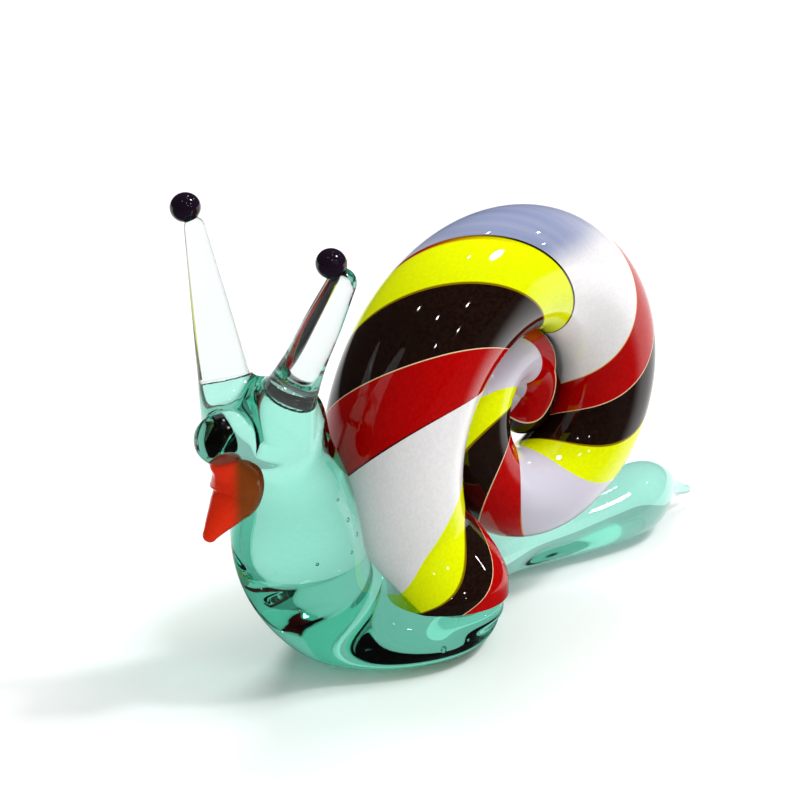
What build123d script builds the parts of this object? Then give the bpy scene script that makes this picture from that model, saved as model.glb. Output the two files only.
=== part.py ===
from build123d import *
import os
from math import cos, radians, sin, sqrt

os.makedirs("parts", exist_ok=True)

# A glass snail, in millimetres. It looks along -X, its left flank faces -Y, and it stands on the plane Z = 0.
# The origin lies on the ground, under the winding axis of the shell and in the middle plane of the body.

# Shell: four canes in one bundle, wound round an axis along Y and twisted on the way.
# The way starts to wind at t = 0. Below it, the way drops to its seat.
axis_height = 16.0
axis_side = -1.2
turns = 1.4974
start_angle = 202.2
winding_radius = 14.1
winding_radius_inner = 0.77
winding_power = 0.907
flare_out = 0.88
flare_right = 0.76
flare_length = 0.25
bundle_radius = 5.55
bundle_radius_inner = 1.78
bundle_power = 0.77
turn_clearance = 0.2
swell = 0.4
swell_at = 0.12
swell_length = 0.15
inset = 1.46
inset_power = 1.4
twist_start = 291.0
twist_rate = 2120.0
twist_easing = -1680.0
twist_gain = 980.0
station_step = 24.0
station_bend = 0.5
cane_shares = {"shell_white": 0.391, "shell_yellow": 0.189, "shell_black": 0.217, "shell_red": 0.203}

# Curl: the last part of the way, which tucks the tip in. A slope is a change over the whole way from t = 0 to t = 1.
curl_start = 0.6385
way_end = 1.164
tip_radius = 1.786
tip_radius_slope = -17.97
tip_side = 1.395
tip_side_slope = 3.706
tip_bundle = 1.515
tip_bundle_slope = 2.461
tip_flat = 0.25
tip_twist = 1680.4
tip_twist_slope = -127.4

# Seat: the flat face of the foot that carries the shell, whose end leans out over the near side
seat_height = 4.6
seat_at = -12.3
seat_side = -3.3
seat_tilt = 2.0
base_blend = 0.85
side_clearance = 0.15
pocket_end = 0.3
saddle_start = 0.46
saddle_end = 0.74

# Body: one gather of glass drawn out along X, from the tail to the neck, which stands just in front of the shell
foot_half_width = 8.0
foot_half_length = 8.5
foot_rim = 0.5
tail_reach = 24.0
tail_length = 22.0
tail_side = 1.8
tail_half_width = 3.2
tail_middle = 2.3
lobe_middle = 3.05
lobe_half_thick = 2.9
tip_thickness = 0.7
neck_stand = 3.87
neck_radius = 5.05
throat_radius = 4.0
neck_at = -(winding_radius + flare_out + bundle_radius + neck_stand)
foot_rise = seat_height + foot_rim

# Head: a pear form along X, from the nape to the nose
head_height = 21.8
nape_back = 2.1
head_radius = 3.3
head_length = 11.5
nose_radius = 1.95
nape_at = neck_at + nape_back
nose_at = nape_at - head_length

# Mouth: a drop that hangs under the nose
mouth_radius = 2.05
mouth_length = 6.0
mouth_back = 3.55
mouth_below = 1.6
mouth_lean = -72.0

# Tentacles: drawn rods that stand in the head, each from its foot behind the nose, with a bead aslant on the end
rod_foot_back = {"left": 6.45, "right": 5.15}
rod_foot_side = {"left": -1.15, "right": 2.0}
rod_reach = {"left": (2.35, -5.5, 12.75), "right": (1.3, 5.2, 14.4)}
rod_foot_radius = {"left": 2.8, "right": 2.35}
rod_radius = {"left": 1.15, "right": 0.85}
bead_radius = 1.2
bead_offset = {"left": (-0.7, 0.75, 0.85), "right": (-0.4, 0.4, 1.1)}

step = 0.001


def flare(t):
    return max(0.0, 1 - t / flare_length) ** 2


def swelling(t):
    return swell * max(0.0, 1 - ((t - swell_at) / swell_length) ** 2) ** 2


def open_radius(t):
    spread = (winding_radius - winding_radius_inner) * max(0.0, 1 - t) ** winding_power
    return winding_radius_inner + spread + flare_out * flare(t) + swelling(t)


def open_side(t):
    return axis_side + inset * max(0.0, t) ** inset_power + flare_right * flare(t)


def open_bundle(t):
    spread = (bundle_radius - bundle_radius_inner) * max(0.0, 1 - t) ** bundle_power
    return bundle_radius_inner + spread + swelling(t)


def open_twist(t):
    return twist_start + twist_rate * t + twist_easing * t**2 + twist_gain * t**3


def curled(form, tip_value, tip_slope, t):
    """A measure of the way: its open form, and from the start of the curl a smooth run to its value at the tip."""
    if t < curl_start:
        return form(t)
    span = way_end - curl_start
    u = (t - curl_start) / span
    slope = (form(curl_start + step) - form(curl_start - step)) / (2 * step)
    early = (2 * u**3 - 3 * u**2 + 1) * form(curl_start) + (u**3 - 2 * u**2 + u) * span * slope
    return early + (3 * u**2 - 2 * u**3) * tip_value + (u**3 - u**2) * span * tip_slope


def outward(t):
    angle = radians(start_angle - 360 * turns * t)
    return Vector(cos(angle), 0, sin(angle))


def winding(t):
    side = curled(open_side, tip_side, tip_side_slope, t)
    return Vector(0, side, axis_height) + outward(t) * curled(open_radius, tip_radius, tip_radius_slope, t)


seat_up = Vector(sin(radians(seat_tilt)), 0, cos(radians(seat_tilt)))
seat_plane = Plane(origin=(seat_at, seat_side, seat_height), z_dir=seat_up)
knee = winding(0)
knee_run = (winding(step) - knee) / step
drop = (knee - seat_plane.origin).dot(seat_up) / knee_run.dot(seat_up)


def centre(t):
    if t > 0:
        return winding(t)
    straight = knee + knee_run * t
    above_seat = seat_plane.origin + seat_up * (straight - seat_plane.origin).dot(seat_up)
    u = min(1.0, -t / drop / base_blend)
    return straight + (above_seat - straight) * (3 * u**2 - 2 * u**3)


def along(t):
    if t > 0:
        return (winding(min(way_end, t + step)) - winding(max(0.0, t - step))).normalized()
    return (knee_run.normalized() * (1 + t / drop) - seat_up * (t / drop)).normalized()


def section_plane(t):
    radial = outward(max(0.0, t))
    return Plane(origin=centre(t), x_dir=radial - along(t) * radial.dot(along(t)), z_dir=along(t))


def bundle(t):
    return curled(open_bundle, tip_bundle, tip_bundle_slope, t) - turn_clearance


def section_radius(t):
    from_tip = (tip_flat * bundle(way_end) + (centre(way_end) - centre(t)).length) / bundle(t)
    return bundle(t) * sqrt(1 - max(0.0, 1 - from_tip) ** 2)


def stripe_angle(t):
    return curled(open_twist, tip_twist, tip_twist_slope, t)


def rim_point(t, share):
    angle = radians(stripe_angle(t) + 360 * share)
    return section_radius(t) * cos(angle), section_radius(t) * sin(angle)


def stations(first, last):
    """Places on the way that are an even share of the turn of the stripes and of the winding apart."""
    places, turned = [first], 0.0
    t = first
    while t < last - step:
        turned += abs(stripe_angle(t + step) - stripe_angle(t)) + station_bend * 360 * turns * step
        t += step
        if turned > station_step:
            places.append(t)
            turned = 0.0
    return places + [last]


def cane(first, last):
    with BuildPart() as piece:
        for t in places:
            with BuildSketch(section_plane(t)):
                with BuildLine():
                    ThreePointArc(rim_point(t, first), rim_point(t, (first + last) / 2), rim_point(t, last))
                    Polyline(rim_point(t, last), (0, 0), rim_point(t, first))
                make_face()
        loft()
    return piece


def bundle_envelope(first, last):
    with BuildPart() as envelope:
        for t in stations(first, last):
            with BuildSketch(section_plane(t)):
                Circle(section_radius(t) + side_clearance)
        loft()
    return envelope


def lean_plane(x, y, z, lean):
    """A plane across the gather, whose way forward rises by this many degrees."""
    forward = Vector(-cos(radians(lean)), 0, sin(radians(lean)))
    return Plane(origin=(x, y, z), x_dir=(0, 1, 0), z_dir=forward)


# Each section of the tail: share of its length from the tip, share of its side, height of its middle,
# half width, half thickness, lean of the way
tail = [
    (0.0, 1.0, 0.39 * lobe_middle, 0.5 * tip_thickness, 0.5 * tip_thickness, -12),
    (0.114, 1.05, 0.66 * lobe_middle, 1.15 * tip_thickness, 1.15 * tip_thickness, -18),
    (0.227, 0.95, 0.97 * lobe_middle, 0.75 * tail_half_width, 0.79 * lobe_half_thick, -8),
    (0.364, 0.5, lobe_middle, tail_half_width, lobe_half_thick, 4),
    (0.59, 0.6, 1.13 * tail_middle, 0.97 * tail_half_width, 1.13 * tail_middle, 5),
    (0.818, 1.17, 0.96 * tail_middle, 0.88 * tail_half_width, 1.04 * tail_middle, 3),
    (1.0, 1.5, 0.91 * tail_middle, 0.69 * tail_half_width, tail_middle, 1),
]
# Each section of the foot: share of its half length in front of the seat, share of the tail's side, height of its
# middle as a share of its rise, share of its half width, half thickness as a share of its rise, lean of the way
foot = [
    (-1.16, 1.28, 0.4, 0.36, 0.44, 1),
    (-0.81, 0.67, 0.38, 0.61, 0.48, 0),
    (-0.28, 0.0, 0.38, 0.9, 0.6, 0),
    (0.25, -0.1, 0.4, 1.01, 0.68, 2),
    (0.72, -0.1, 0.63, 0.86, 0.83, 28),
]
# Each section of the neck: how far it stands back, as a share of its radius, share of its height between foot and
# head, radius, lean of the way
neck = [
    (0.55, 0.05, 0.91 * neck_radius, 52),
    (0.18, 0.22, 0.98 * neck_radius, 72),
    (0.0, 0.41, neck_radius, 88),
    (-0.02, 0.63, 1.14 * throat_radius, 92),
    (-0.07, 0.73, throat_radius, 97),
    (-0.14, 0.84, 0.88 * throat_radius, 100),
    (-0.24, 0.98, 0.72 * throat_radius, 102),
]
# Each section of the head: place along X and radius
pear = [
    (nape_at, 0.25 * head_radius),
    (nape_at - 0.2 * head_radius, 0.65 * head_radius),
    (nape_at - 0.8 * head_radius, head_radius),
    (nape_at - 1.5 * head_radius, 0.95 * head_radius),
    (nose_at + 2.2 * nose_radius, 1.1 * nose_radius),
    (nose_at + nose_radius, nose_radius),
    (nose_at + 0.35 * nose_radius, 0.8 * nose_radius),
    (nose_at, 0.25 * nose_radius),
]

pocket = bundle_envelope(-drop, pocket_end)
saddle = bundle_envelope(saddle_start, saddle_end)
with BuildPart() as body:
    for share, aside, z, half_width, half_thick, lean in tail:
        with BuildSketch(lean_plane(tail_reach - share * tail_length, aside * tail_side, z, lean)):
            Ellipse(half_width, half_thick)
    for share, aside, middle, width, thick, lean in foot:
        with BuildSketch(lean_plane(seat_at - share * foot_half_length, aside * tail_side, middle * foot_rise, lean)):
            Ellipse(width * foot_half_width, thick * foot_rise)
    for back, share, radius, lean in neck:
        z = foot_rise + share * (head_height - foot_rise)
        with BuildSketch(lean_plane(neck_at + back * neck_radius, 0, z, lean)):
            Circle(radius)
    loft()
    split(bisect_by=Plane.XY, keep=Keep.TOP)
    for x, radius in pear:
        with BuildSketch(lean_plane(x, 0, head_height, 0)):
            Circle(radius)
    loft()
    add(pocket.part, mode=Mode.SUBTRACT)
    add(saddle.part, mode=Mode.SUBTRACT)
body.part.label = "body"
export_step(body.part, "parts/body.step")

# Each section of the mouth: share of its place behind the nose, share of the way down, share of its radius
mouth_steps = [
    (0.66, 0.0, 0.58),
    (0.86, 0.17, 0.8),
    (1.0, 0.37, 1.0),
    (0.97, 0.53, 0.95),
    (0.7, 0.68, 0.72),
    (0.4, 0.83, 0.46),
    (0.2, 0.95, 0.28),
    (0.13, 1.0, 0.12),
]
with BuildPart() as mouth:
    for back, down, width in mouth_steps:
        z = head_height - mouth_below - down * mouth_length
        with BuildSketch(lean_plane(nose_at + back * mouth_back, 0, z, mouth_lean)):
            Circle(width * mouth_radius)
    loft()
    add(body.part, mode=Mode.SUBTRACT)
mouth.part.label = "mouth"
export_step(mouth.part, "parts/mouth.step")

# Each section of a tentacle: share of its length, share of the flare at its foot
flare_steps = {
    "left": ((0, 1.0), (0.22, 0.62), (0.42, 0.32), (0.7, 0.2), (1, 0)),
    "right": ((0, 1.0), (0.5, 0.5), (1, 0)),
}
for side, run_steps in flare_steps.items():
    base = Vector(nose_at + rod_foot_back[side], rod_foot_side[side], head_height)
    run = Vector(rod_reach[side])
    with BuildPart() as rod:
        for part_way, extra in run_steps:
            with BuildSketch(Plane(origin=base + run * part_way, z_dir=run)):
                Circle(rod_radius[side] + (rod_foot_radius[side] - rod_radius[side]) * extra)
        loft()
        add(body.part, mode=Mode.SUBTRACT)
    rod.part.label = f"tentacle_{side}"
    export_step(rod.part, f"parts/tentacle_{side}.step")
    with BuildPart() as bead:
        with Locations(base + run + Vector(bead_offset[side])):
            Sphere(bead_radius)
        add(rod.part, mode=Mode.SUBTRACT)
    bead.part.label = f"eye_{side}"
    export_step(bead.part, f"parts/eye_{side}.step")

places = stations(-drop, way_end)
turn_gaps = []
for early in places:
    for late in [t for t in places if (t - early) * turns > 0.5]:
        turn_gaps.append((centre(late) - centre(early)).length - section_radius(late) - section_radius(early))
print(f"least gap of the shell to itself: {min(turn_gaps):.2f} mm")

share = 0.0
for name, width in cane_shares.items():
    piece = cane(share, share + width)
    piece.part.label = name
    export_step(piece.part, f"parts/{name}.step")
    share += width
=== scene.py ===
from itertools import product
from math import atan2, cos, pi, radians, sin

import bpy
import numpy as np
from mathutils import Matrix, Vector


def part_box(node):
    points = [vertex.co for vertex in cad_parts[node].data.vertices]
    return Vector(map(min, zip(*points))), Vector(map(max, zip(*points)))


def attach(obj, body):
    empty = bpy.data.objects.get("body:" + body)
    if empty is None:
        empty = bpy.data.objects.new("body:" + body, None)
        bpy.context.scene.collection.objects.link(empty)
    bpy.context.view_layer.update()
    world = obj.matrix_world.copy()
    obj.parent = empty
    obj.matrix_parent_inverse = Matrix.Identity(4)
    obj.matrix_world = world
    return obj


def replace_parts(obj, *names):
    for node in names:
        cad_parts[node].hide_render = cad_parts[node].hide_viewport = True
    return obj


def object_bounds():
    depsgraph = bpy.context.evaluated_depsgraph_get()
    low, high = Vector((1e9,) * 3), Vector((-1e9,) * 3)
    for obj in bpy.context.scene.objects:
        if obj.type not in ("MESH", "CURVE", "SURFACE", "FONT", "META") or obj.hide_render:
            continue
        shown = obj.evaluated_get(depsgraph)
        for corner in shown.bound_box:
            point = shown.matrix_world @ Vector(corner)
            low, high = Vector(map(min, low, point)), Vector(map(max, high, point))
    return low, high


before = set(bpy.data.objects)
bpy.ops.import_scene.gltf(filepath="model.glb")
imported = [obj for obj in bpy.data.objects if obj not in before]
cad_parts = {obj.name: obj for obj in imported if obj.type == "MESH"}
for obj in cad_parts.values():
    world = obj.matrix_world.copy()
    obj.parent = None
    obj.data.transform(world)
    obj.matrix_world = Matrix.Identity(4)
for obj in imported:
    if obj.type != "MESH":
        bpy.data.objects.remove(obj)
cad_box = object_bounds()

# A glass snail. Sizes are in millimetres, as in the part's source, and become metres when a mesh is made.
MM = 0.001

# Shell: four canes in one bundle, wound round an axis along Y and twisted on the way
axis_height = 16.0
axis_side = -1.2
turns = 1.4974
start_angle = 202.2
winding_radius = 14.1
winding_radius_inner = 0.77
winding_power = 0.907
flare_out = 0.88
flare_right = 0.76
flare_length = 0.25
bundle_radius = 5.55
bundle_radius_inner = 1.78
bundle_power = 0.77
turn_clearance = 0.065
swell = 0.4
swell_at = 0.12
swell_length = 0.15
inset = 1.46
inset_power = 1.4
twist_start = 291.0
twist_rate = 2120.0
twist_easing = -1680.0
twist_gain = 980.0
# Share of the bundle's girth of each cane, at the base and on the way
cane_shares = {
    "shell_white": (0.4, 0.391),
    "shell_yellow": (0.125, 0.189),
    "shell_black": (0.1, 0.217),
    "shell_red": (0.375, 0.203),
}
# Mesh of the bundle: rings along the way, closer to each other near the tip, and points round a ring
rings = 860
ring_crowding = 1.6
spokes = 208

# Curl: the last part of the way, which tucks the tip in
curl_start = 0.6385
way_end = 1.164
tip_radius = 1.786
tip_radius_slope = -17.97
tip_side = 1.395
tip_side_slope = 3.706
tip_bundle = 2.15
tip_bundle_slope = 2.461
tip_twist = 1680.4
tip_twist_slope = -127.4
twist_end = 0.97

# Seat of the shell on the foot, and where on the way its canes reach their full shares
seat_height = 4.6
seat_at = -12.3
seat_side = -3.3
seat_tilt = 2.0
base_blend = 0.85
grown_at = 0.1

# Body: the head, the clear rods and the eye beads
head_height = 21.8
nape_at = -22.3
nose_at = -33.8
head_radius = 3.3
nose_radius = 1.95
rod_foot_back = {"left": 6.45, "right": 5.15}
rod_foot_side = {"left": -1.15, "right": 2.0}
rod_reach = {"left": (2.35, -5.5, 12.75), "right": (1.3, 5.2, 14.4)}
bead_radius = 1.2
bead_offset = {"left": (-0.7, 0.75, 0.85), "right": (-0.4, 0.4, 1.1)}
# Cells of the meshes
body_cell = 0.25
mouth_cell = 0.12
rod_cell = 0.15


def new_piece(name, points, faces, material, normals=None):
    mesh = bpy.data.meshes.new(name)
    mesh.from_pydata([tuple(p) for p in np.asarray(points) * MM], [], faces)
    mesh.polygons.foreach_set("use_smooth", [True] * len(mesh.polygons))
    mesh.validate()
    if normals is not None:
        mesh.normals_split_custom_set_from_vertices([tuple(n) for n in normals])
    mesh.materials.append(material)
    piece = bpy.data.objects.new(name, mesh)
    bpy.context.scene.collection.objects.link(piece)
    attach(piece, "root")
    return piece


def unit(v):
    return v / np.linalg.norm(v, axis=-1, keepdims=True)


# The way of the shell's bundle, on arrays of t


def flare(t):
    return np.maximum(0, 1 - t / flare_length) ** 2


def swelling(t):
    return swell * np.maximum(0, 1 - ((t - swell_at) / swell_length) ** 2) ** 2


def open_radius(t):
    spread = (winding_radius - winding_radius_inner) * np.maximum(0, 1 - t) ** winding_power
    return winding_radius_inner + spread + flare_out * flare(t) + swelling(t)


def open_side(t):
    return axis_side + inset * np.maximum(0, t) ** inset_power + flare_right * flare(t)


def open_bundle(t):
    spread = (bundle_radius - bundle_radius_inner) * np.maximum(0, 1 - t) ** bundle_power
    return bundle_radius_inner + spread + swelling(t)


def open_twist(t):
    return twist_start + twist_rate * t + twist_easing * t**2 + twist_gain * t**3


# Small step along the way, for slopes
step = 0.001


def curled(form, tip_value, tip_slope, t):
    """A measure of the way: its open form, then a smooth run from the curl's start to its value at the tip."""
    span = way_end - curl_start
    u = np.maximum(0, t - curl_start) / span
    slope = (form(curl_start + step) - form(curl_start - step)) / (2 * step)
    early = (2 * u**3 - 3 * u**2 + 1) * form(curl_start) + (u**3 - 2 * u**2 + u) * span * slope
    late = (3 * u**2 - 2 * u**3) * tip_value + (u**3 - u**2) * span * tip_slope
    return np.where(t < curl_start, form(t), early + late)


def outward(t):
    angle = np.radians(start_angle - 360 * turns * t)
    return np.stack([np.cos(angle), 0 * t, np.sin(angle)], -1)


def winding(t):
    side = curled(open_side, tip_side, tip_side_slope, t)
    radius = curled(open_radius, tip_radius, tip_radius_slope, t)
    return np.stack([0 * t, side, axis_height + 0 * t], -1) + outward(t) * radius[:, None]


seat_up = np.array([sin(radians(seat_tilt)), 0, cos(radians(seat_tilt))])
seat_point = np.array([seat_at, seat_side, seat_height])
knee = winding(np.array([0.0]))[0]
knee_run = (winding(np.array([step]))[0] - knee) / step
drop = (knee - seat_point) @ seat_up / (knee_run @ seat_up)


def centre(t):
    straight = knee + knee_run * np.minimum(t, 0)[:, None]
    above_seat = seat_point + ((straight - seat_point) @ seat_up)[:, None] * seat_up
    u = np.clip(-t / drop / base_blend, 0, 1)[:, None]
    low = straight + (above_seat - straight) * (3 * u**2 - 2 * u**3)
    return np.where((t > 0)[:, None], winding(np.maximum(t, 0)), low)


def along(t):
    wound = unit(winding(np.minimum(way_end, np.maximum(t, 0) + step)) - winding(np.maximum(0, t - step)))
    below = np.minimum(t, 0)[:, None] / drop
    straight = unit(unit(knee_run) * (1 + below) - seat_up * below)
    return np.where((t > 0)[:, None], wound, straight)


def bundle(t):
    return curled(open_bundle, tip_bundle, tip_bundle_slope, t) - turn_clearance


def section_radius(t):
    from_tip = np.linalg.norm(centre(np.array([way_end])) - centre(t), axis=-1) / bundle(t)
    return bundle(t) * np.sqrt(np.maximum(0, 1 - np.maximum(0, 1 - from_tip) ** 2))


def stripe_angle(t):
    return curled(open_twist, tip_twist, tip_twist_slope, np.minimum(t, twist_end))


def shell_canes(materials):
    even = np.linspace(0, 1, rings)
    t = -drop + (way_end + drop) * (1 - (1 - even) ** ring_crowding)
    middle, forward, radius = centre(t), along(t), section_radius(t)
    radial = outward(np.maximum(t, 0))
    across = unit(radial - forward * (radial * forward).sum(-1, keepdims=True))
    upward = np.cross(forward, across)
    from_base = np.clip((t + drop) / (drop + grown_at), 0, 1)
    grown = 3 * from_base**2 - 2 * from_base**3
    share = 0 * t
    for name, (at_base, on_way) in cane_shares.items():
        width = at_base + (on_way - at_base) * grown
        across_count = round(spokes * on_way)
        around = share[:, None] + width[:, None] * np.linspace(0, 1, across_count)
        angle = np.radians(stripe_angle(t)[:, None] + 360 * around)
        ray = np.cos(angle)[..., None] * across[:, None] + np.sin(angle)[..., None] * upward[:, None]
        turn = np.cos(angle)[..., None] * upward[:, None] - np.sin(angle)[..., None] * across[:, None]
        rim = middle[:, None] + ray * radius[:, None, None]
        normal = np.cross(turn, np.gradient(rim, axis=0))
        normal[-1] = normal[-2]
        normal = unit(normal)
        shell_cane(name, rim, normal, middle, radius * 2 * pi * width, t, materials[name])
        share = share + width


def shell_cane(name, rim, normal, middle, arc, t, material):
    """One cane as a closed mesh: its outer face, its two walls to the bundle's middle and its two ends."""
    rows, columns = rim.shape[0], rim.shape[1]
    points = np.concatenate([rim.reshape(-1, 3), middle])
    normals = np.concatenate([normal.reshape(-1, 3), normal[:, columns // 2]])
    core = rows * columns
    faces = []
    for i in range(rows - 1):
        a, b = i * columns, (i + 1) * columns
        faces += [(a + j, a + j + 1, b + j + 1, b + j) for j in range(columns - 1)]
        faces.append((a, b, core + i + 1, core + i))
        faces.append((a + columns - 1, core + i, core + i + 1, b + columns - 1))
    last = (rows - 1) * columns
    faces += [(core, j + 1, j) for j in range(columns - 1)]
    faces += [(core + rows - 1, last + j, last + j + 1) for j in range(columns - 1)]
    piece = new_piece(name.replace("shell", "cane"), points, faces, material)
    mesh = piece.data
    across = np.tile(np.linspace(0, 1, columns), rows) * np.repeat(arc, columns)
    for label, values in (
        ("from_start", np.concatenate([across, 0 * t])),
        ("to_end", np.concatenate([np.repeat(arc, columns) - across, 0 * t])),
        ("way", np.concatenate([np.repeat(t, columns), t])),
    ):
        mesh.attributes.new(label, "FLOAT", "POINT").data.foreach_set("value", values.astype(np.float32))
    vertex = np.empty(len(mesh.loops), np.int32)
    starts, totals = (np.empty(len(mesh.polygons), np.int32) for _ in range(2))
    flat = np.empty(3 * len(mesh.polygons), np.float32)
    mesh.loops.foreach_get("vertex_index", vertex)
    mesh.polygons.foreach_get("loop_start", starts)
    mesh.polygons.foreach_get("loop_total", totals)
    mesh.polygons.foreach_get("normal", flat)
    face = np.repeat(np.arange(len(totals)), totals)
    outer = np.maximum.reduceat(vertex, starts) < core
    split = np.where(outer[face][:, None], normals[vertex], flat.reshape(-1, 3)[face])
    mesh.normals_split_custom_set([tuple(n) for n in split])
    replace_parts(piece, name)


# The body as a smooth field, less than zero in the glass


def blend_in(a, b, reach):
    """The smaller of two fields, rounded where they meet."""
    h = np.maximum(reach - np.abs(a - b), 0) / reach
    return np.minimum(a, b) - reach * h**3 / 6


def keep_in(a, b, reach):
    return -blend_in(-a, -b, reach)


def smooth_row(rows, count):
    """A smooth run through rows of numbers, spaced by the distance between their first three columns."""
    rows = np.array(rows, float)
    gap = np.linalg.norm(np.diff(rows[:, :3], axis=0), axis=1)
    place = np.concatenate([[0], np.cumsum(gap)])
    tangent = np.gradient(rows, place, axis=0)
    goal = np.linspace(0, place[-1], count)
    k = np.clip(np.searchsorted(place, goal, "right") - 1, 0, len(gap) - 1)
    u = ((goal - place[k]) / gap[k])[:, None]
    h = gap[k][:, None]
    return (
        (2 * u**3 - 3 * u**2 + 1) * rows[k]
        + (u**3 - 2 * u**2 + u) * h * tangent[k]
        + (3 * u**2 - 2 * u**3) * rows[k + 1]
        + (u**3 - u**2) * h * tangent[k + 1]
    )


def evened(rows, reach):
    """The same run of rows with its unevenness taken out over a reach of steps."""
    weight = np.exp(-0.5 * (np.arange(-3 * reach, 3 * reach + 1) / reach) ** 2)
    weight /= weight.sum()
    padded = np.pad(rows, ((3 * reach, 3 * reach), (0, 0)), "reflect", reflect_type="odd")
    return np.stack([np.convolve(column, weight, "valid") for column in padded.T], -1)


# Steps in each smooth run of sections, and the reach over which the gather is evened
gather_steps = 1800
gather_evening = 36
head_steps = 200
rod_rows = 80
mouth_steps = 120
# Each section of the gather: its middle, half width and half thickness
gather_rows = smooth_row(
    [
        (23.5, 1.8, 1.3, 0.4, 0.4),
        (21.5, 1.9, 2.0, 0.8, 0.8),
        (19.0, 1.7, 2.95, 2.4, 2.3),
        (16.0, 0.9, 3.05, 3.2, 2.9),
        (11.0, 1.1, 2.6, 3.1, 2.6),
        (6.0, 2.1, 2.2, 2.8, 2.4),
        (2.0, 2.7, 2.1, 2.2, 2.3),
        (-2.4, 2.3, 2.05, 2.9, 2.25),
        (-5.4, 1.2, 1.95, 4.9, 2.45),
        (-9.9, 0.0, 1.95, 7.2, 3.05),
        (-14.4, -0.2, 2.05, 8.05, 3.45),
        (-18.4, -0.2, 3.2, 6.9, 4.2),
        (-21.6, 0.0, 5.95, 4.6, 4.6),
        (-23.5, 0.0, 8.8, 4.95, 4.95),
        (-24.4, 0.0, 12.0, 5.05, 5.05),
        (-24.5, 0.0, 15.6, 4.56, 4.56),
        (-24.75, 0.0, 17.3, 4.0, 4.0),
        (-25.1, 0.0, 19.1, 3.5, 3.5),
        (-25.6, 0.0, 21.3, 2.9, 2.9),
    ],
    gather_steps,
)
gather = evened(gather_rows, gather_evening)
# Each section of the head: its middle and radius
pear = smooth_row(
    [
        (nape_at - 0.9 * head_radius, 0.0, head_height - 0.2, 0.9 * head_radius),
        (nape_at - 1.1 * head_radius, 0.0, head_height - 0.1, head_radius),
        (nape_at - 1.6 * head_radius, 0.0, head_height, 0.93 * head_radius),
        (nose_at + 2.3 * nose_radius, 0.0, head_height, 1.1 * nose_radius),
        (nose_at + nose_radius, 0.0, head_height, nose_radius),
    ],
    head_steps,
)
# Each section of a tentacle: share of its length and radius
rod_steps = {
    "left": ((0.0, 2.8), (0.22, 2.15), (0.42, 1.68), (0.7, 1.46), (0.95, 1.15)),
    "right": ((0.0, 2.35), (0.5, 1.6), (0.97, 0.85)),
}


def rod(side):
    base = np.array([nose_at + rod_foot_back[side], rod_foot_side[side], head_height])
    return base, np.array(rod_reach[side])


def nearest(points, line):
    """The nearest place on a line of short steps to each point, counted in steps, and how far it is."""
    stride = 16
    best = np.full(len(points), np.inf)
    rough = np.zeros(len(points), int)
    for k in range(0, len(line), stride):
        d = ((points - line[k]) ** 2).sum(-1)
        rough[d < best] = k
        best = np.minimum(best, d)
    place, best = np.zeros(len(points)), np.full(len(points), np.inf)
    for k in range(-stride, stride):
        a = np.clip(rough + k, 0, len(line) - 2)
        run = line[a + 1] - line[a]
        off = points - line[a]
        share = np.clip((off * run).sum(-1) / (run * run).sum(-1), 0, 1)
        d = ((off - share[:, None] * run) ** 2).sum(-1)
        place = np.where(d < best, a + share, place)
        best = np.minimum(best, d)
    return place, np.sqrt(best)


def at_place(values, place):
    return np.interp(place, np.arange(len(values)), values)


def swept_field(p):
    flat, back = np.unique(p[:, [0, 2]], axis=0, return_inverse=True)
    place, away = (v[back.ravel()] for v in nearest(flat, gather[:, [0, 2]]))
    half_width, half_thick = at_place(gather[:, 3], place), at_place(gather[:, 4], place)
    level = np.sqrt(((p[:, 1] - at_place(gather[:, 1], place)) / half_width) ** 2 + (away / half_thick) ** 2)
    return (level - 1) * np.minimum(half_width, half_thick)


def bead_chain(p, chain):
    place, away = nearest(p, chain[:, :3])
    return away - at_place(chain[:, 3], place)


def rod_field(p, side):
    """How far points are from a tentacle's face, and how far up it they are."""
    base, run = rod(side)
    length = np.linalg.norm(run)
    steps = np.array(rod_steps[side])
    level = np.zeros((len(steps), 2))
    rows = smooth_row(np.column_stack([steps[:, 0] * length, level, steps[:, 1]]), rod_rows)
    share = (p - base) @ run / length**2
    inside = np.clip(share, 0, steps[-1, 0])
    radius = np.interp(inside * length, rows[:, 0], rows[:, 3])
    return np.linalg.norm(p - base - inside[:, None] * run, axis=-1) - radius, share * length


# Collar: the glass that wells up under the end of the shell
collar_radius = 4.52
collar_thick = 0.6
collar_below = 1.2


def collar_field(p):
    q = p - seat_point + np.array([0, 0, collar_below])
    return np.hypot(np.hypot(q[:, 0], q[:, 1]) - collar_radius, q[:, 2]) - collar_thick


# Reach of the rounding where two forms of the gather meet, and where it meets the ground
collar_blend = 1.6
head_blend = 2.2
rod_blend = 2.0
ground_blend = 1.6
rest_height = 0.03
# Joint of the clear rods on their aqua feet: height along the rod, overlap, step in the face, rounding
joint_height = {"left": 3.1, "right": 3.3}
joint_overlap = 0.12
joint_step = 0.04
joint_edge = 0.05


def glass_field(p):
    f = blend_in(swept_field(p), collar_field(p), collar_blend)
    f = blend_in(f, bead_chain(p, pear), head_blend)
    for side in rod_reach:
        skin, up = rod_field(p, side)
        f = blend_in(f, keep_in(skin, up - joint_height[side], joint_edge), rod_blend)
    return keep_in(f, rest_height - p[:, 2], ground_blend)


def clear_rod(side):
    def field(p):
        skin, up = rod_field(p, side)
        return keep_in(skin + joint_step, joint_height[side] - joint_overlap - up, joint_edge)

    return field


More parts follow.
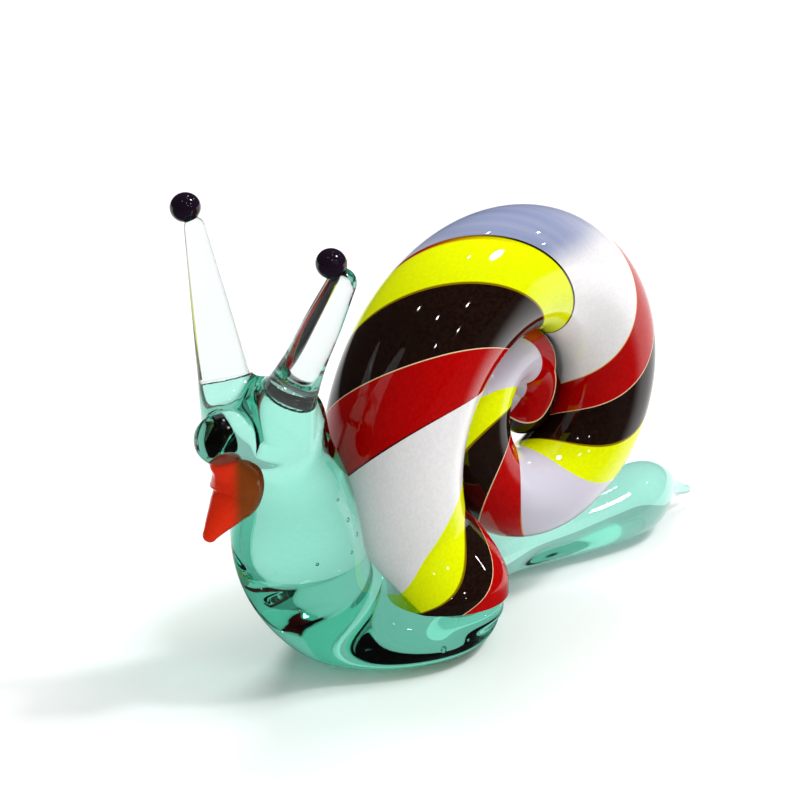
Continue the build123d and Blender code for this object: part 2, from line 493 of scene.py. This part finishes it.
def surface_net(field, low, high, cell):
    """A closed mesh of quads on the zero level of a field, one point in each cell that the level crosses."""
    counts = np.ceil((high - low) / cell).astype(int) + 1
    axes = [low[a] + cell * np.arange(counts[a]) for a in range(3)]
    values = np.empty(counts, np.float32)
    for i, x in enumerate(axes[0]):
        y, z = np.meshgrid(axes[1], axes[2], indexing="ij")
        slab = np.stack([np.full(y.size, x), y.ravel(), z.ravel()], -1)
        values[i] = field(slab).reshape(y.shape)
    inside = values < 0
    shape = tuple(counts - 1)
    summed = np.zeros(shape + (3,))
    crossings = np.zeros(shape, int)

    def corner(grid, c):
        return grid[tuple(slice(c[a], c[a] + shape[a]) for a in range(3))]

    for a in range(3):
        others = [b for b in range(3) if b != a]
        for one, two in product((0, 1), repeat=2):
            start = [0, 0, 0]
            start[others[0]], start[others[1]] = one, two
            end = list(start)
            end[a] = 1
            va, vb = corner(values, start), corner(values, end)
            cross = corner(inside, start) != corner(inside, end)
            where = np.where(cross, va / np.where(cross, va - vb, 1), 0)
            for b in range(3):
                summed[..., b] += cross * (where if b == a else start[b])
            crossings += cross
    active = crossings > 0
    number = np.full(shape, -1)
    number[active] = np.arange(active.sum())
    cells = np.argwhere(active)
    points = low + cell * (cells + summed[active] / crossings[active][:, None])
    quads = []
    for a in range(3):
        b, c = (a + 1) % 3, (a + 2) % 3
        first, second = [slice(1, -1)] * 3, [slice(1, -1)] * 3
        first[a], second[a] = slice(0, -1), slice(1, None)
        leaving = inside[tuple(first)]
        flips = leaving != inside[tuple(second)]
        spot = np.argwhere(flips)
        spot[:, b] += 1
        spot[:, c] += 1
        quad = []
        for db, dc in ((-1, -1), (0, -1), (0, 0), (-1, 0)):
            q = spot.copy()
            q[:, b] += db
            q[:, c] += dc
            quad.append(number[q[:, 0], q[:, 1], q[:, 2]])
        quad = np.stack(quad, -1)
        turned = ~leaving[flips]
        quad[turned] = quad[turned][:, ::-1]
        quads.append(quad)
    return points, np.concatenate(quads)


slope_reach = 0.15
settle_rounds = 3
settle_share = 0.5
least_slope = 0.2


def slopes(field, p):
    steps = np.eye(3) * slope_reach
    return np.stack([field(p + s) - field(p - s) for s in steps], -1) / (2 * slope_reach)


def settle(field, points, quads):
    """Evens the points out along the surface and puts each one on it."""
    for _ in range(settle_rounds):
        total, count = np.zeros_like(points), np.zeros(len(points))
        for k in range(4):
            np.add.at(total, quads[:, k], points[quads[:, (k + 1) % 4]] + points[quads[:, k - 1]])
            np.add.at(count, quads[:, k], 2)
        points = points + settle_share * (total / count[:, None] - points)
        slope = slopes(field, points)
        points = points - (field(points) / np.maximum((slope**2).sum(-1), least_slope))[:, None] * slope
    return points, unit(slopes(field, points))


def skin_of(field, low, high, cell):
    """Points, normals and faces on the zero level of a field."""
    points, quads = surface_net(field, low, high, cell)
    points, normals = settle(field, points, quads)
    return points, normals, quads.tolist()


def box_of(node):
    return (np.array(c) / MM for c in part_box(node))


# Any direction that no ball is drawn out along
aslant = (0.3, 1, 0.1)


def ball(at, half_sizes, axis=(0, 0, 1), rows=20, columns=32):
    """Points, normals and faces of a ball, flattened or drawn out along an axis."""
    way = unit(np.array(axis, float))
    across = unit(np.cross(way, aslant))
    upward = np.cross(way, across)
    points, normals, faces = [], [], []
    for i in range(rows + 1):
        lat = pi * i / rows
        for j in range(columns):
            lon = 2 * pi * j / columns
            ray = sin(lat) * (cos(lon) * across + sin(lon) * upward)
            points.append(np.array(at) + half_sizes[0] * ray + half_sizes[1] * cos(lat) * way)
            normals.append(unit(ray / half_sizes[0] + cos(lat) * way / half_sizes[1]))
    for i in range(rows):
        for j in range(columns):
            a, b = i * columns + j, i * columns + (j + 1) % columns
            faces.append((a, a + columns, b + columns, b))
    return np.array(points), np.array(normals), faces


# Node helpers


def material_nodes(name):
    material = bpy.data.materials.new(name)
    material.use_nodes = True
    nodes, links = material.node_tree.nodes, material.node_tree.links
    return material, nodes, links, nodes["Principled BSDF"]


def mixed(nodes, links, factor, a, b):
    """A colour between two colours or sockets."""
    mix = nodes.new("ShaderNodeMix")
    mix.data_type = "RGBA"
    links.new(factor, mix.inputs["Factor"])
    for value, slot in ((a, mix.inputs["A"]), (b, mix.inputs["B"])):
        if isinstance(value, tuple):
            slot.default_value = (*value, 1)
        else:
            links.new(value, slot)
    return mix.outputs["Result"]


def ramp(nodes, links, value, start, end, low=0.0, high=1.0):
    """A value that runs smoothly from low to high between a start and an end."""
    node = nodes.new("ShaderNodeMapRange")
    node.interpolation_type = "SMOOTHSTEP"
    for label, number in (("From Min", start), ("From Max", end), ("To Min", low), ("To Max", high)):
        node.inputs[label].default_value = number
    links.new(value, node.inputs["Value"])
    return node.outputs["Result"]


def product_of(nodes, links, a, b):
    node = nodes.new("ShaderNodeMath")
    node.operation = "MULTIPLY"
    links.new(a, node.inputs[0])
    links.new(b, node.inputs[1])
    return node.outputs["Value"]


def attribute(nodes, label):
    node = nodes.new("ShaderNodeAttribute")
    node.attribute_name = label
    return node.outputs["Fac"]


def cloud(nodes, links, scale, detail=3, vector=None):
    node = nodes.new("ShaderNodeTexNoise")
    node.inputs["Scale"].default_value = scale
    node.inputs["Detail"].default_value = detail
    if vector is not None:
        links.new(vector, node.inputs["Vector"])
    return node.outputs["Fac"]


def place_in(nodes, links, axis):
    """Where a point is along one axis of the part, in metres."""
    split = nodes.new("ShaderNodeSeparateXYZ")
    links.new(nodes.new("ShaderNodeTexCoord").outputs["Object"], split.inputs["Vector"])
    return split.outputs[axis]


def drawn_streaks(nodes, links, along_scale, across_scale):
    """Noise drawn out along a cane, as the glass is."""
    join = nodes.new("ShaderNodeCombineXYZ")
    for label, scale, slot in (("way", along_scale, "X"), ("from_start", across_scale, "Y")):
        node = nodes.new("ShaderNodeMath")
        node.operation = "MULTIPLY"
        links.new(attribute(nodes, label), node.inputs[0])
        node.inputs[1].default_value = scale
        links.new(node.outputs["Value"], join.inputs[slot])
    return cloud(nodes, links, 1.0, 3, join.outputs["Vector"])


glass_ior = 1.5
cane_roughness = 0.04
bead_roughness = 0.04
mouth_roughness = 0.06
clear_roughness = 0.012


def glass(name, colour, other, absorbed, density):
    """Clear glass that takes light up on the way through it."""
    material, nodes, links, surface = material_nodes(name)
    surface.inputs["Transmission Weight"].default_value = 1.0
    surface.inputs["IOR"].default_value = glass_ior
    noise = cloud(nodes, links, 160)
    links.new(ramp(nodes, links, noise, 0.3, 0.7, 0.0, clear_roughness), surface.inputs["Roughness"])
    look = mixed(nodes, links, ramp(nodes, links, noise, 0.35, 0.65), colour, other)
    links.new(look, surface.inputs["Base Color"])
    volume = nodes.new("ShaderNodeVolumeAbsorption")
    volume.inputs["Color"].default_value = (*absorbed, 1)
    volume.inputs["Density"].default_value = density
    links.new(volume.outputs["Volume"], nodes["Material Output"].inputs["Volume"])
    return material


# Blue streaks of the white cane: the heights where they start and are full, and where on the way they fade in
# and out
streak_from = 28.5
streak_full = 31.0
streak_in = (0.11, 0.16)
streak_out = (0.3, 0.2)
# Painted shade: the white cane is greyer and a little lavender on the inner turn, where less light reaches it
shaded_inner_white = (0.60, 0.57, 0.66)
shaded_inner_from = (0.4, 0.5)
# How much of the way a fine line takes to fade in or out
line_fade = 0.05


def cane_glass(name, colour, other, lines, streak=None):
    """Opaque glass with soft clouds, and fine lines of other glass along its edges."""
    material, nodes, links, surface = material_nodes(name)
    surface.inputs["IOR"].default_value = glass_ior
    surface.inputs["Roughness"].default_value = cane_roughness
    look = mixed(nodes, links, ramp(nodes, links, cloud(nodes, links, 90), 0.35, 0.65), colour, other)
    way = attribute(nodes, "way")
    if streak:
        near = ramp(nodes, links, place_in(nodes, links, "Z"), streak_from * MM, streak_full * MM)
        begun, ended = ramp(nodes, links, way, *streak_in), ramp(nodes, links, way, *streak_out)
        ends = product_of(nodes, links, begun, ended)
        soft = ramp(nodes, links, drawn_streaks(nodes, links, 3.0, 0.35), 0.3, 0.7, 0.8, 1.0)
        mask = product_of(nodes, links, product_of(nodes, links, near, ends), soft)
        look = mixed(nodes, links, mask, look, streak)
        # Painted shade on the inner turn of the white cane
        look = mixed(nodes, links, ramp(nodes, links, way, *shaded_inner_from), look, shaded_inner_white)
    for label, line, width, first, last in lines:
        mask = ramp(nodes, links, attribute(nodes, label), 0.5 * width, width, 1.0, 0.0)
        begun = ramp(nodes, links, way, first, first + line_fade)
        ended = ramp(nodes, links, way, last, last - line_fade)
        ends = product_of(nodes, links, begun, ended)
        look = mixed(nodes, links, product_of(nodes, links, mask, ends), look, line)
    links.new(look, surface.inputs["Base Color"])
    return material


# Lines: the edge, the colour, the width, and where on the way it starts and ends
gold = (0.75, 0.45, 0.10)
ivory = (0.85, 0.62, 0.36)
soot = (0.01, 0.0, 0.0)
cane_materials = {
    "shell_white": cane_glass("opal_white", (0.80, 0.78, 0.77), (0.75, 0.73, 0.75), [], (0.16, 0.20, 0.36)),
    "shell_yellow": cane_glass(
        "lemon_yellow",
        (0.76, 0.86, 0.0),
        (0.72, 0.80, 0.0),
        [
            ("to_end", (0.22, 0.13, 0.0), 0.35, -0.3, 1.3),
            ("from_start", (0.30, 0.0, 0.0), 0.9, 0.09, 0.19),
            ("from_start", soot, 0.4, 0.13, 0.42),
        ],
    ),
    "shell_black": cane_glass("brown_black", (0.006, 0.002, 0.001), (0.014, 0.005, 0.003), []),
    "shell_red": cane_glass(
        "deep_red",
        (0.38, 0.0, 0.0),
        (0.44, 0.001, 0.001),
        [
            ("from_start", ivory, 0.16, -0.3, 1.3),
            ("to_end", gold, 0.18, 0.2, 0.6),
            ("to_end", soot, 0.25, 0.0, 0.1),
        ],
    ),
}
shell_canes(cane_materials)

aqua = glass("aqua_glass", (0.58, 0.94, 0.85), (0.64, 0.95, 0.88), (0.3, 0.87, 0.74), 80.0)
clear = glass("clear_glass", (1.0, 1.0, 1.0), (0.97, 1.0, 0.99), (0.6, 0.95, 0.9), 40.0)

# Air bubbles in the gather: middle and radius
bubbles = [
    ((-28.8, 0.8, 9.9), 0.26),
    ((-27.8, -1.8, 8.5), 0.24),
    ((-23.1, -4.3, 14.0), 0.2),
    ((-22.1, -4.2, 12.5), 0.2),
    ((-26.1, -4.1, 11.3), 0.14),
    ((-15.9, -7.3, 2.0), 0.26),
    ((-33.2, 0.8, 21.8), 0.28),
    ((-23.9, -4.1, 15.8), 0.13),
    ((-23.0, -4.5, 11.4), 0.15),
    ((-28.5, -0.6, 9.0), 0.12),
    ((-26.7, -2.8, 7.3), 0.12),
    ((-13.6, -7.6, 2.2), 0.12),
]

lowest, highest = (np.array(c) / MM for c in cad_box)
margin = 3 * body_cell
points, normals, faces = skin_of(glass_field, lowest - margin, highest + margin, body_cell)
for at, radius in bubbles:
    more, rays, skin = ball(at, (radius, radius))
    faces += [tuple(k + len(points) for k in reversed(f)) for f in skin]
    points, normals = np.concatenate([points, more]), np.concatenate([normals, -rays])
body = new_piece("glass_body", points, faces, aqua, normals)
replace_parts(body, "body")
# Room left round a small piece for its mesh
room = 2.0
for side in rod_reach:
    low, high = box_of(f"tentacle_{side}")
    points, normals, faces = skin_of(clear_rod(side), low - room, high + room, rod_cell)
    rod_piece = new_piece(f"rod_{side}", points, faces, clear, normals)
    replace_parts(rod_piece, f"tentacle_{side}")

# Eye beads on the ends of the tentacles
black, nodes, links, surface = material_nodes("black_glass")
surface.inputs["IOR"].default_value = glass_ior
surface.inputs["Roughness"].default_value = bead_roughness
speckle = ramp(nodes, links, cloud(nodes, links, 500), 0.4, 0.7)
look = mixed(nodes, links, speckle, (0.006, 0.003, 0.010), (0.016, 0.006, 0.014))
links.new(look, surface.inputs["Base Color"])
# A bead is a little flatter along its rod than across it
bead_half_sizes = (0.99 * bead_radius, 0.95 * bead_radius)
for side in rod_reach:
    base, run = rod(side)
    points, _, faces = ball(base + run + np.array(bead_offset[side]), bead_half_sizes, run, 40, 64)
    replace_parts(new_piece(f"bead_{side}", points, faces, black), f"eye_{side}")

# Mouth: a drop of red glass under the snout
mouth_back = 3.55
mouth_below = 1.6
mouth_length = 6.0
mouth_radius = 2.05
# Each section of the drop: shares of its place behind the nose, of the way down and of its radius
drop_rows = [
    (0.7, 0.06, 0.6),
    (0.86, 0.17, 0.8),
    (1.0, 0.37, 1.0),
    (0.97, 0.53, 0.95),
    (0.7, 0.68, 0.72),
    (0.4, 0.83, 0.46),
    (0.2, 0.94, 0.28),
]
drop_chain = smooth_row(
    [
        (
            nose_at + back * mouth_back,
            0.0,
            head_height - mouth_below - down * mouth_length,
            share * mouth_radius,
        )
        for back, down, share in drop_rows
    ],
    mouth_steps,
)


def mouth_field(p):
    return bead_chain(p, drop_chain)


# The lobe at the back of the drop is painted brown, for the light that clear red glass would let through from
# the aqua neck: how far behind the nose it starts and is full
see_through_brown = (0.20, 0.045, 0.006)
see_through_from = 2.8
see_through_full = 4.3
red, nodes, links, surface = material_nodes("red_glass")
surface.inputs["IOR"].default_value = glass_ior
surface.inputs["Roughness"].default_value = mouth_roughness
# Painted highlights: orange spots scattered over the red stand in for glints of light on the drop
painted_glint_spots = ramp(nodes, links, cloud(nodes, links, 380), 0.52, 0.66)
red_with_painted_glints = mixed(nodes, links, painted_glint_spots, (0.70, 0.014, 0.004), (0.85, 0.09, 0.01))
flank = nodes.new("ShaderNodeMath")
flank.operation = "SUBTRACT"
links.new(place_in(nodes, links, "X"), flank.inputs[0])
links.new(place_in(nodes, links, "Y"), flank.inputs[1])
# Painted see-through light: brown on the lobe at the back of the drop
behind = ramp(nodes, links, flank.outputs["Value"], (nose_at + see_through_from) * MM, (nose_at + see_through_full) * MM)
links.new(mixed(nodes, links, behind, red_with_painted_glints, see_through_brown), surface.inputs["Base Color"])
low, high = box_of("mouth")
points, normals, faces = skin_of(mouth_field, low - 0.5 * room, high + room, mouth_cell)
mouth = new_piece("mouth_drop", points, faces, red, normals)
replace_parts(mouth, "mouth")

# Stage: a pale floor with a painted green shadow near the glass, and dark in the reflections in front of the
# part
floor_size = 4.0
view_back = (0.731, 0.682, 0.0)
dark_from, dark_full = 0.012, -0.008
# Painted green shadow on the floor round the glass: its middle, the distance where it starts to fade, and
# where it is gone
painted_shadow_middle = (-0.018, 0.0, 0.0)
painted_shadow_from, painted_shadow_gone = 0.012, 0.035
floor_mesh = bpy.data.meshes.new("floor")
floor_mesh.from_pydata(
    [(x * floor_size, y * floor_size, 0) for x, y in ((-1, -1), (1, -1), (1, 1), (-1, 1))], [], [(0, 1, 2, 3)]
)
floor = bpy.data.objects.new("floor", floor_mesh)
bpy.context.scene.collection.objects.link(floor)
floor_material, nodes, links, surface = material_nodes("pale_floor")
path = nodes.new("ShaderNodeLightPath").outputs
ahead = nodes.new("ShaderNodeVectorMath")
ahead.operation = "DOT_PRODUCT"
links.new(nodes.new("ShaderNodeTexCoord").outputs["Object"], ahead.inputs[0])
ahead.inputs[1].default_value = view_back
in_front = ramp(nodes, links, ahead.outputs["Value"], dark_from, dark_full)
hidden = product_of(nodes, links, path["Is Glossy Ray"], in_front)
far = nodes.new("ShaderNodeVectorMath")
far.operation = "DISTANCE"
links.new(nodes.new("ShaderNodeTexCoord").outputs["Object"], far.inputs[0])
far.inputs[1].default_value = painted_shadow_middle
away = ramp(nodes, links, far.outputs["Value"], painted_shadow_from, painted_shadow_gone)
# Painted shadow: the floor is green near the glass, so its shadow there looks tinted by light through the
# glass
floor_with_painted_shadow = mixed(nodes, links, away, (0.85, 0.93, 0.90), (0.93, 0.93, 0.93))
links.new(mixed(nodes, links, hidden, floor_with_painted_shadow, (0.05, 0.05, 0.05)), surface.inputs["Base Color"])
surface.inputs["Roughness"].default_value = 0.35
surface.inputs["Specular IOR Level"].default_value = 0.25
# Through glass the floor looks mostly evenly lit, since real glass lets light through onto it
seen_lit = 0.7
glow = nodes.new("ShaderNodeEmission")
glow.inputs["Strength"].default_value = 1.0
through = nodes.new("ShaderNodeMixShader")
links.new(ramp(nodes, links, path["Is Transmission Ray"], 0.0, 1.0, 0.0, seen_lit), through.inputs["Fac"])
links.new(surface.outputs["BSDF"], through.inputs[1])
links.new(glow.outputs["Emission"], through.inputs[2])
links.new(through.outputs["Shader"], nodes["Material Output"].inputs["Surface"])
floor_mesh.materials.append(floor_material)

# Camera at the photograph's view: the picture's width in pixels, the sensor in millimetres, the eye, and where
# the middle of the shell stands in the picture
picture = 800
sensor = 36
eye = Vector((-211.77, -198.96, 124.33)) * MM
focal_pixels = 3866.7
shell_middle = Vector((0, axis_side, axis_height)) * MM
middle_pixel = (524.63, 407.12)
camera = bpy.data.objects.new("camera", bpy.data.cameras.new("camera"))
bpy.context.scene.collection.objects.link(camera)
bpy.context.scene.camera = camera
camera.data.sensor_width = sensor
camera.data.lens = sensor * focal_pixels / picture
camera.data.clip_start = 0.01
look = (shell_middle - eye).normalized()
facing = look.to_track_quat("-Z", "Y").to_matrix()
aside = atan2(middle_pixel[0] - picture / 2, focal_pixels)
below = atan2(middle_pixel[1] - picture / 2, focal_pixels)
facing = facing @ Matrix.Rotation(aside, 3, "Y") @ Matrix.Rotation(below, 3, "X")
camera.matrix_world = Matrix.Translation(eye) @ facing.to_4x4()


# Light: soft lamps that lift the floor to white, and small ones that only show as glints
def lamp(name, at, size, power, glossy=False):
    data = bpy.data.lights.new(name, "AREA")
    data.shape = "DISK"
    data.size = size
    data.energy = power
    light = bpy.data.objects.new(name, data)
    light.location = at
    light.rotation_euler = (shell_middle - Vector(at)).to_track_quat("-Z", "Y").to_euler()
    light.visible_glossy = glossy
    light.visible_transmission = glossy
    light.visible_camera = False
    bpy.context.scene.collection.objects.link(light)


# Lamps: place in metres, width and power
lamp("key", (0.47, -0.17, 0.48), 0.22, 1.7)
lamp("back", (0.26, 0.30, 0.55), 0.36, 2.3)
lamp("top", (0.1, -0.3, 0.6), 0.4, 0.6)
lamp("front", (-0.05, -0.6, 0.35), 0.4, 0.35)
# Glints: direction from the shell, and the lamp's width
glints = [
    ((0.36, -0.39, 0.85), 0.09),
    ((0.14, -0.08, 0.99), 0.02),
    ((0.43, 0.20, 0.88), 0.02),
    ((0.74, -0.17, 0.65), 0.02),
    ((0.74, -0.41, 0.53), 0.015),
    ((-0.46, -0.03, 0.89), 0.02),
    ((-0.34, -0.55, 0.76), 0.02),
    ((0.05, -0.80, 0.59), 0.02),
    ((0.01, -0.92, 0.39), 0.015),
    ((-0.32, -0.81, 0.49), 0.015),
]
glint_distance = 0.6
glint_radiance = 60.0
for k, (way, width) in enumerate(glints):
    at = shell_middle + glint_distance * Vector(way).normalized()
    lamp(f"glint_{k}", at, width, glint_radiance * pi * pi * (width / 2) ** 2, True)

# World: white to the camera, a plain light on the floor, dark in the gloss and dim in the glass
world = bpy.data.worlds.new("studio")
bpy.context.scene.world = world
world.use_nodes = True
nodes, links = world.node_tree.nodes, world.node_tree.links
path = nodes.new("ShaderNodeLightPath").outputs
seen = mixed(nodes, links, path["Is Glossy Ray"], (0.42, 0.42, 0.42), (0.04, 0.04, 0.04))
seen = mixed(nodes, links, path["Is Transmission Ray"], seen, (0.6, 0.6, 0.6))
seen = mixed(nodes, links, path["Is Camera Ray"], seen, (1.0, 1.0, 1.0))
links.new(seen, nodes["Background"].inputs["Color"])
nodes["Background"].inputs["Strength"].default_value = 1.0

bpy.context.scene.view_settings.view_transform = "Standard"
